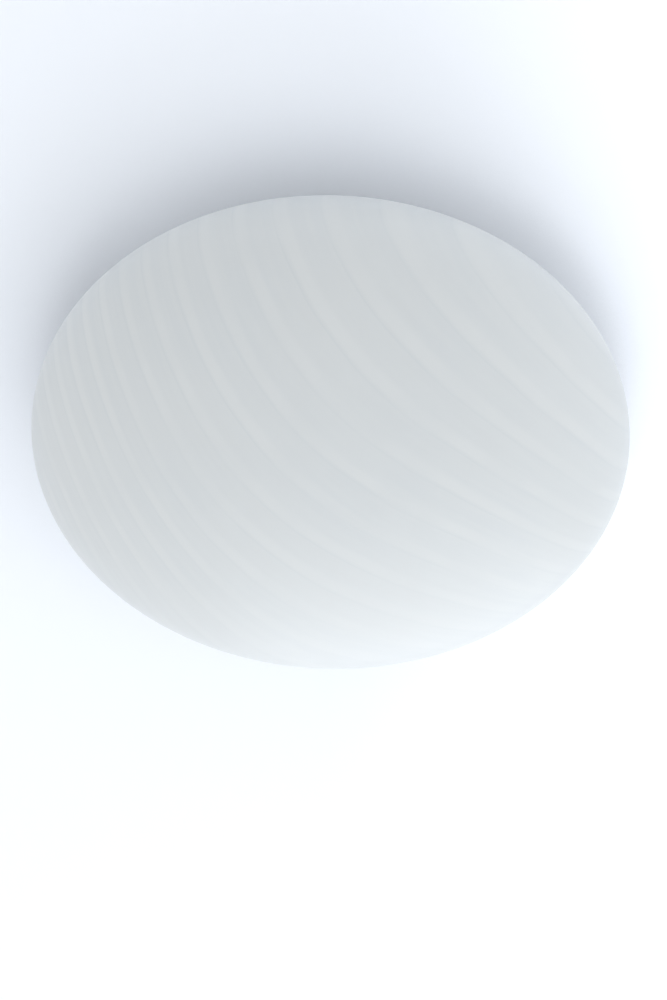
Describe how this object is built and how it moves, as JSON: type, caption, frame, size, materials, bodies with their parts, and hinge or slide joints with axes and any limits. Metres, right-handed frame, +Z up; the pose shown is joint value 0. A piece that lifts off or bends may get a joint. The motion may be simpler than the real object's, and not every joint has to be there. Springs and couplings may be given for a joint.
{
  "type": "flush ceiling light",
  "caption": "Flush ceiling light: a shallow closed bowl of blown satin glass with a swirled stripe, held by its lip on the sprung clips of a pressed pan with screw-in lamps.",
  "frame": {"origin": "centre of the pan's back, on the ceiling: the centre of its fixing hole circle", "axes": "+Z up into the ceiling, so the light hangs towards -Z; +X towards the cable entry"},
  "size_m": [0.3999, 0.4, 0.1238],
  "materials": {
    "satin_glass": "satin etched opal glass with a faint swirl",
    "white_enamel": "white powder coat",
    "spring_steel": "rolled spring steel",
    "soft_sleeve": "translucent silicone",
    "zinc_steel": "zinc plated",
    "porcelain": "glazed white",
    "brass": "bright",
    "tinned_copper": "tinned",
    "nickel": "nickel plated",
    "solder": "dull",
    "black_glass": "gloss",
    "white_plastic": "fine texture",
    "opal_plastic": "satin opal",
    "block_plastic": "natural polyamide",
    "black_rubber": "matte",
    "brown_insulation": "semi-gloss",
    "blue_insulation": "semi-gloss",
    "green_yellow_insulation": "semi-gloss"
  },
  "bodies": {
    "base": {"ceiling_pan": "white_enamel", "spring_clip_1": "spring_steel", "spring_clip_2": "spring_steel", "spring_clip_3": "spring_steel", "clip_sleeve_1": "soft_sleeve", "clip_sleeve_2": "soft_sleeve", "clip_sleeve_3": "soft_sleeve", "clip_rivets": "zinc_steel", "bracket_rivets": "zinc_steel", "holder_screws": "zinc_steel", "block_screws": "zinc_steel", "earth_washer": "zinc_steel", "terminal_screws": "zinc_steel", "holder_bracket_1": "zinc_steel", "holder_bracket_2": "zinc_steel", "holder_bracket_3": "zinc_steel", "lampholder_body_1": "porcelain", "lampholder_body_2": "porcelain", "lampholder_body_3": "porcelain", "earth_screw": "brass", "terminal_inserts": "brass", "screw_shell_1": "brass", "screw_shell_2": "brass", "screw_shell_3": "brass", "centre_contact_1": "brass", "centre_contact_2": "brass", "centre_contact_3": "brass", "earth_tag": "tinned_copper", "terminal_block": "block_plastic", "cable_grommet": "black_rubber", "live_wires": "brown_insulation", "neutral_wires": "blue_insulation", "earth_wire": "green_yellow_insulation"},
    "shade": {"glass_shade": "satin_glass"},
    "bulb_1": {"bulb_contact_1": "solder", "bulb_insulator_1": "black_glass", "bulb_cap_1": "nickel", "bulb_housing_1": "white_plastic", "bulb_dome_1": "opal_plastic"},
    "bulb_2": {"bulb_contact_2": "solder", "bulb_insulator_2": "black_glass", "bulb_cap_2": "nickel", "bulb_housing_2": "white_plastic", "bulb_dome_2": "opal_plastic"},
    "bulb_3": {"bulb_contact_3": "solder", "bulb_insulator_3": "black_glass", "bulb_cap_3": "nickel", "bulb_housing_3": "white_plastic", "bulb_dome_3": "opal_plastic"}
  },
  "joints": [
    {"name": "shade_drop", "type": "slide", "parent": "base", "child": "shade", "axis": [0, 0, -1], "range_m": [0, 0.12], "deforming": ["spring_clip_1", "spring_clip_2", "spring_clip_3", "clip_sleeve_1", "clip_sleeve_2", "clip_sleeve_3"]},
    {"name": "bulb_1_withdraw", "type": "slide", "parent": "base", "child": "bulb_1", "axis": [1, 0, 0], "range_m": [0, 0.028]},
    {"name": "bulb_2_withdraw", "type": "slide", "parent": "base", "child": "bulb_2", "axis": [-0.5, 0.866, 0], "range_m": [0, 0.028]},
    {"name": "bulb_3_withdraw", "type": "slide", "parent": "base", "child": "bulb_3", "axis": [-0.5, -0.866, 0], "range_m": [0, 0.028]}
  ]
}
